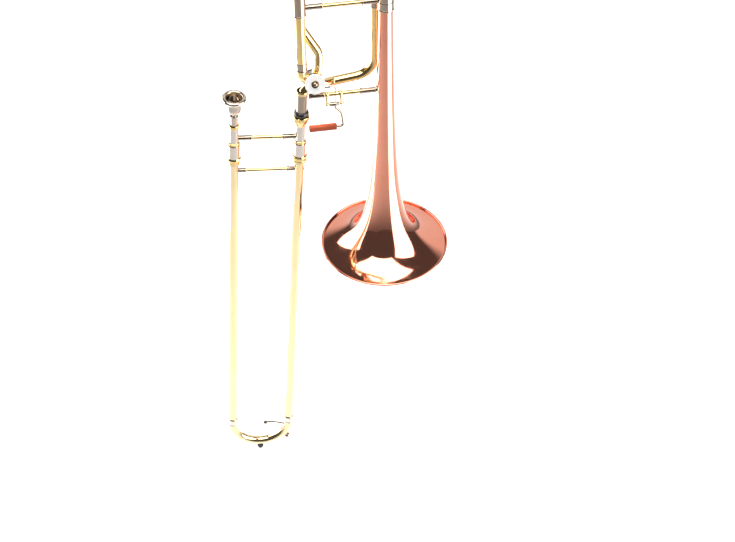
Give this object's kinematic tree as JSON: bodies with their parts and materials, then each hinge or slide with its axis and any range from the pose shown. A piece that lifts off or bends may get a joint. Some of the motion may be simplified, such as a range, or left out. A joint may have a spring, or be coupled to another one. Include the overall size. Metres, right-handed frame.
{
  "type": "tenor trombone",
  "caption": "Tenor trombone with a rotary F attachment, open bell, telescoping hand slide, tuning slides, thumb trigger, water key and mouthpiece.",
  "frame": {"origin": "centre of the bell's rim, in the plane of the rim", "axes": "+Z along the bell's axis, away from its mouth; +X from the neck to the bell; the hand slide hangs at -X"},
  "size_m": [0.4045, 0.216, 1.201],
  "materials": {
    "rose_brass": "polished and lacquered",
    "yellow_brass": "polished and lacquered",
    "nickel_silver": "polished",
    "chrome_plate": "mirror polished",
    "silver_plate": "mirror polished",
    "steel": "satin",
    "black_ring": "satin",
    "roller_sleeve": "matte",
    "bumper_rubber": "matte",
    "cork": "raw"
  },
  "bodies": {
    "bell_section": {"bell": "rose_brass", "bell_rim_wire": "steel", "bell_ferrule": "nickel_silver", "tuning_sleeves": "nickel_silver", "neckpipe": "yellow_brass", "neck_ferrule": "nickel_silver", "neck_knuckle": "yellow_brass", "receiver_knuckle": "yellow_brass", "f_low_tube": "yellow_brass", "f_high_tube": "yellow_brass", "valve_casing": "nickel_silver", "valve_bearing_plate": "nickel_silver", "valve_cap": "nickel_silver", "stop_corks": "cork", "f_sleeves": "nickel_silver", "f_braces": "yellow_brass", "lower_bell_brace": "yellow_brass", "bell_brace_patch": "nickel_silver", "upper_bell_brace": "yellow_brass", "slide_receiver": "nickel_silver", "receiver_collar": "yellow_brass", "receiver_ring": "black_ring", "trigger_saddle": "yellow_brass", "trigger_pin": "steel", "trigger_spring": "steel"},
    "tuning_slide": {"tuning_slide_legs": "nickel_silver", "tuning_slide_ferrules": "nickel_silver", "tuning_slide_bow": "yellow_brass", "tuning_slide_brace": "yellow_brass"},
    "f_slide": {"f_slide_legs": "nickel_silver", "f_slide_bow": "yellow_brass"},
    "rotor": {"rotor": "steel", "rotor_disc": "nickel_silver", "rotor_screw": "nickel_silver"},
    "trigger": {"trigger_lever": "nickel_silver", "trigger_roller": "roller_sleeve"},
    "link": {"trigger_link": "steel"},
    "slide_section": {"inner_slide_sleeves": "nickel_silver", "mouthpiece_receiver": "yellow_brass", "bell_side_inner_tube": "chrome_plate", "mouth_side_inner_tube": "chrome_plate", "leadpipe": "yellow_brass", "barrel_rings": "yellow_brass", "cork_barrels": "nickel_silver", "slide_corks": "cork", "inner_slide_brace": "yellow_brass"},
    "lock_nut": {"lock_nut": "yellow_brass"},
    "lock_ring": {"slide_lock_ring": "nickel_silver"},
    "mouthpiece": {"mouthpiece": "silver_plate"},
    "hand_slide": {"bell_side_outer_tube": "yellow_brass", "mouth_side_outer_tube": "yellow_brass", "outer_slide_collars": "nickel_silver", "outer_slide_brace": "yellow_brass", "crook_ferrules": "nickel_silver", "slide_crook": "yellow_brass", "crook_fittings": "nickel_silver", "slide_bumper": "bumper_rubber", "water_key_screw": "steel"},
    "water_key": {"water_key_lever": "nickel_silver", "water_key_cork": "cork"}
  },
  "joints": [
    {"name": "tuning_slide_pull", "type": "slide", "parent": "bell_section", "child": "tuning_slide", "axis": [0, 0, 1], "range_m": [0, 0.055]},
    {"name": "f_slide_pull", "type": "slide", "parent": "bell_section", "child": "f_slide", "axis": [0, 0, 1], "range_m": [0, 0.055]},
    {"name": "trigger_press", "type": "hinge", "parent": "bell_section", "child": "trigger", "pos_m": [-0.0835, -0.01, 0.321], "axis": [1, 0, 0], "range_deg": [0, 37], "stiffness_Nm_per_rad": 0.15, "springref_deg": -28.65},
    {"name": "rotor_turn", "type": "hinge", "parent": "bell_section", "child": "rotor", "pos_m": [-0.1115, 0.0055, 0.3575], "axis": [0, -0.9063, 0.4226], "range_deg": [0, 90.1]},
    {"name": "link_swing", "type": "hinge", "parent": "rotor", "child": "link", "pos_m": [-0.10514, -0.01242, 0.35883], "axis": [0, -0.9063, 0.4226], "range_deg": [-90.1, 0]},
    {"name": "slide_swivel", "type": "hinge", "parent": "bell_section", "child": "slide_section", "pos_m": [-0.13, 0, 0.35], "axis": [-0.0656, 0, -0.9978], "range_deg": [-100, 100]},
    {"name": "lock_nut_turn", "type": "hinge", "parent": "slide_section", "child": "lock_nut", "pos_m": [-0.13393, 0, 0.29013], "axis": [-0.0656, 0, -0.9978], "range_deg": [-360, 0]},
    {"name": "slide_lock_turn", "type": "hinge", "parent": "slide_section", "child": "lock_ring", "pos_m": [-0.13918, 0, 0.2103], "axis": [-0.0656, 0, -0.9978], "range_deg": [0, 30]},
    {"name": "mouthpiece_pull", "type": "slide", "parent": "slide_section", "child": "mouthpiece", "axis": [0.0656, 0, 0.9978], "range_m": [0, 0.06]},
    {"name": "hand_slide_travel", "type": "slide", "parent": "slide_section", "child": "hand_slide", "axis": [-0.0656, 0, -0.9978], "range_m": [0, 0.58]},
    {"name": "water_key_press", "type": "hinge", "parent": "hand_slide", "child": "water_key", "pos_m": [-0.18867, 0.01218, -0.46804], "axis": [-0.0349, -0.9994, 0.0023], "range_deg": [0, 22], "stiffness_Nm_per_rad": 0.03, "springref_deg": -28.65}
  ],
  "couplings": [
    {"joint": "rotor_turn", "follows": "trigger_press", "ratio": 2.4324},
    {"joint": "link_swing", "follows": "trigger_press", "ratio": -2.4324}
  ]
}
